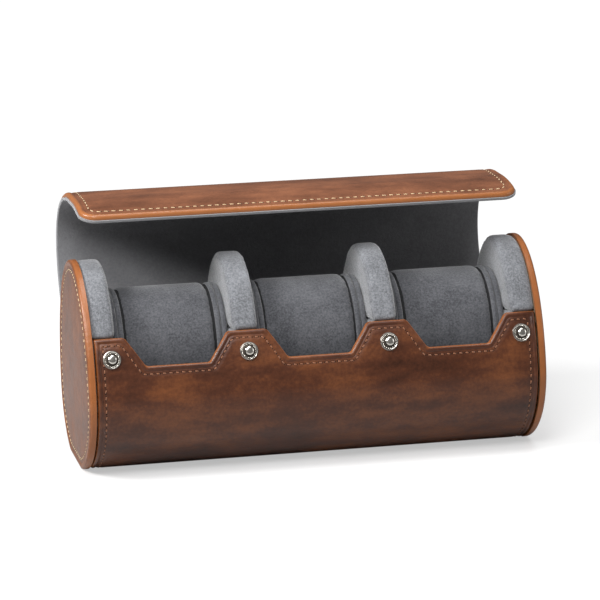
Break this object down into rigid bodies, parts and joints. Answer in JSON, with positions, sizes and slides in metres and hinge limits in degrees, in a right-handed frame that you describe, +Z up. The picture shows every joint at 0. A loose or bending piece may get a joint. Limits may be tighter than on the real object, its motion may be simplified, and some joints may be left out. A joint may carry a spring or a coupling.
{
  "type": "watch travel case",
  "caption": "Leaning oval watch case with closed padded ends, padded dividers, lift-out watch cushions, notched front wall with snap studs and a curved hinged flap whose edge snaps shut.",
  "frame": {"origin": "centre of the flattened bottom that the case stands on", "axes": "+X along the case to the right seen from its open front, -Y the front, +Z up"},
  "size_m": [0.2248, 0.1127, 0.1254],
  "materials": {
    "wall_leather": "waxed, mottled dark chocolate, semi-gloss",
    "end_leather": "waxed, mottled brown with a burnished rim",
    "flap_leather": "waxed, mottled warm brown, semi-gloss",
    "board": "grey-brown fibre board, hidden",
    "lining": "dark grey suede",
    "padding": "grey suede over foam",
    "cushion_suede": "dark grey suede",
    "cushion_foam": "black foam, hidden",
    "hinge_cloth": "woven reinforcing tape",
    "snap_metal": "antique nickel plate",
    "spring_wire": "drawn wire"
  },
  "bodies": {
    "case": {"wrap_leather": "wall_leather", "wrap_board": "board", "wrap_lining": "lining", "hinge_strip": "hinge_cloth", "end_pad_left": "padding", "end_cap_leather_left": "end_leather", "end_cap_board_left": "board", "divider_pad_left": "padding", "divider_core_left": "board", "end_pad_right": "padding", "end_cap_leather_right": "end_leather", "end_cap_board_right": "board", "divider_pad_right": "padding", "divider_core_right": "board", "floor_pad_left": "padding", "floor_pad_middle": "padding", "floor_pad_right": "padding", "snap_studs": "snap_metal", "snap_posts": "snap_metal"},
    "flap": {"flap_leather": "flap_leather", "flap_board": "board", "flap_lining": "lining", "flex_strip": "hinge_cloth"},
    "lip": {"lip_leather": "flap_leather", "lip_board": "board", "lip_lining": "lining", "snap_sockets": "snap_metal", "snap_springs": "spring_wire"},
    "cushion_left": {"cushion_core_left": "cushion_foam", "cushion_sleeve_left": "cushion_suede", "cushion_end_left_left": "cushion_suede", "cushion_end_right_left": "cushion_suede"},
    "cushion_middle": {"cushion_core_middle": "cushion_foam", "cushion_sleeve_middle": "cushion_suede", "cushion_end_left_middle": "cushion_suede", "cushion_end_right_middle": "cushion_suede"},
    "cushion_right": {"cushion_core_right": "cushion_foam", "cushion_sleeve_right": "cushion_suede", "cushion_end_left_right": "cushion_suede", "cushion_end_right_right": "cushion_suede"}
  },
  "joints": [
    {"name": "flap_hinge", "type": "hinge", "parent": "case", "child": "flap", "pos_m": [0, 0.03963, 0.04624], "axis": [-1, 0, 0], "range_deg": [-54, 51]},
    {"name": "lip_flex", "type": "hinge", "parent": "flap", "child": "lip", "pos_m": [0, 0.02508, 0.12321], "axis": [-1, 0, 0], "range_deg": [-6, 14]},
    {"name": "cushion_left_lift", "type": "slide", "parent": "case", "child": "cushion_left", "axis": [0, -0.1392, 0.9903], "range_m": [0, 0.03]},
    {"name": "cushion_middle_lift", "type": "slide", "parent": "case", "child": "cushion_middle", "axis": [0, -0.1392, 0.9903], "range_m": [0, 0.03]},
    {"name": "cushion_right_lift", "type": "slide", "parent": "case", "child": "cushion_right", "axis": [0, -0.1392, 0.9903], "range_m": [0, 0.03]}
  ]
}
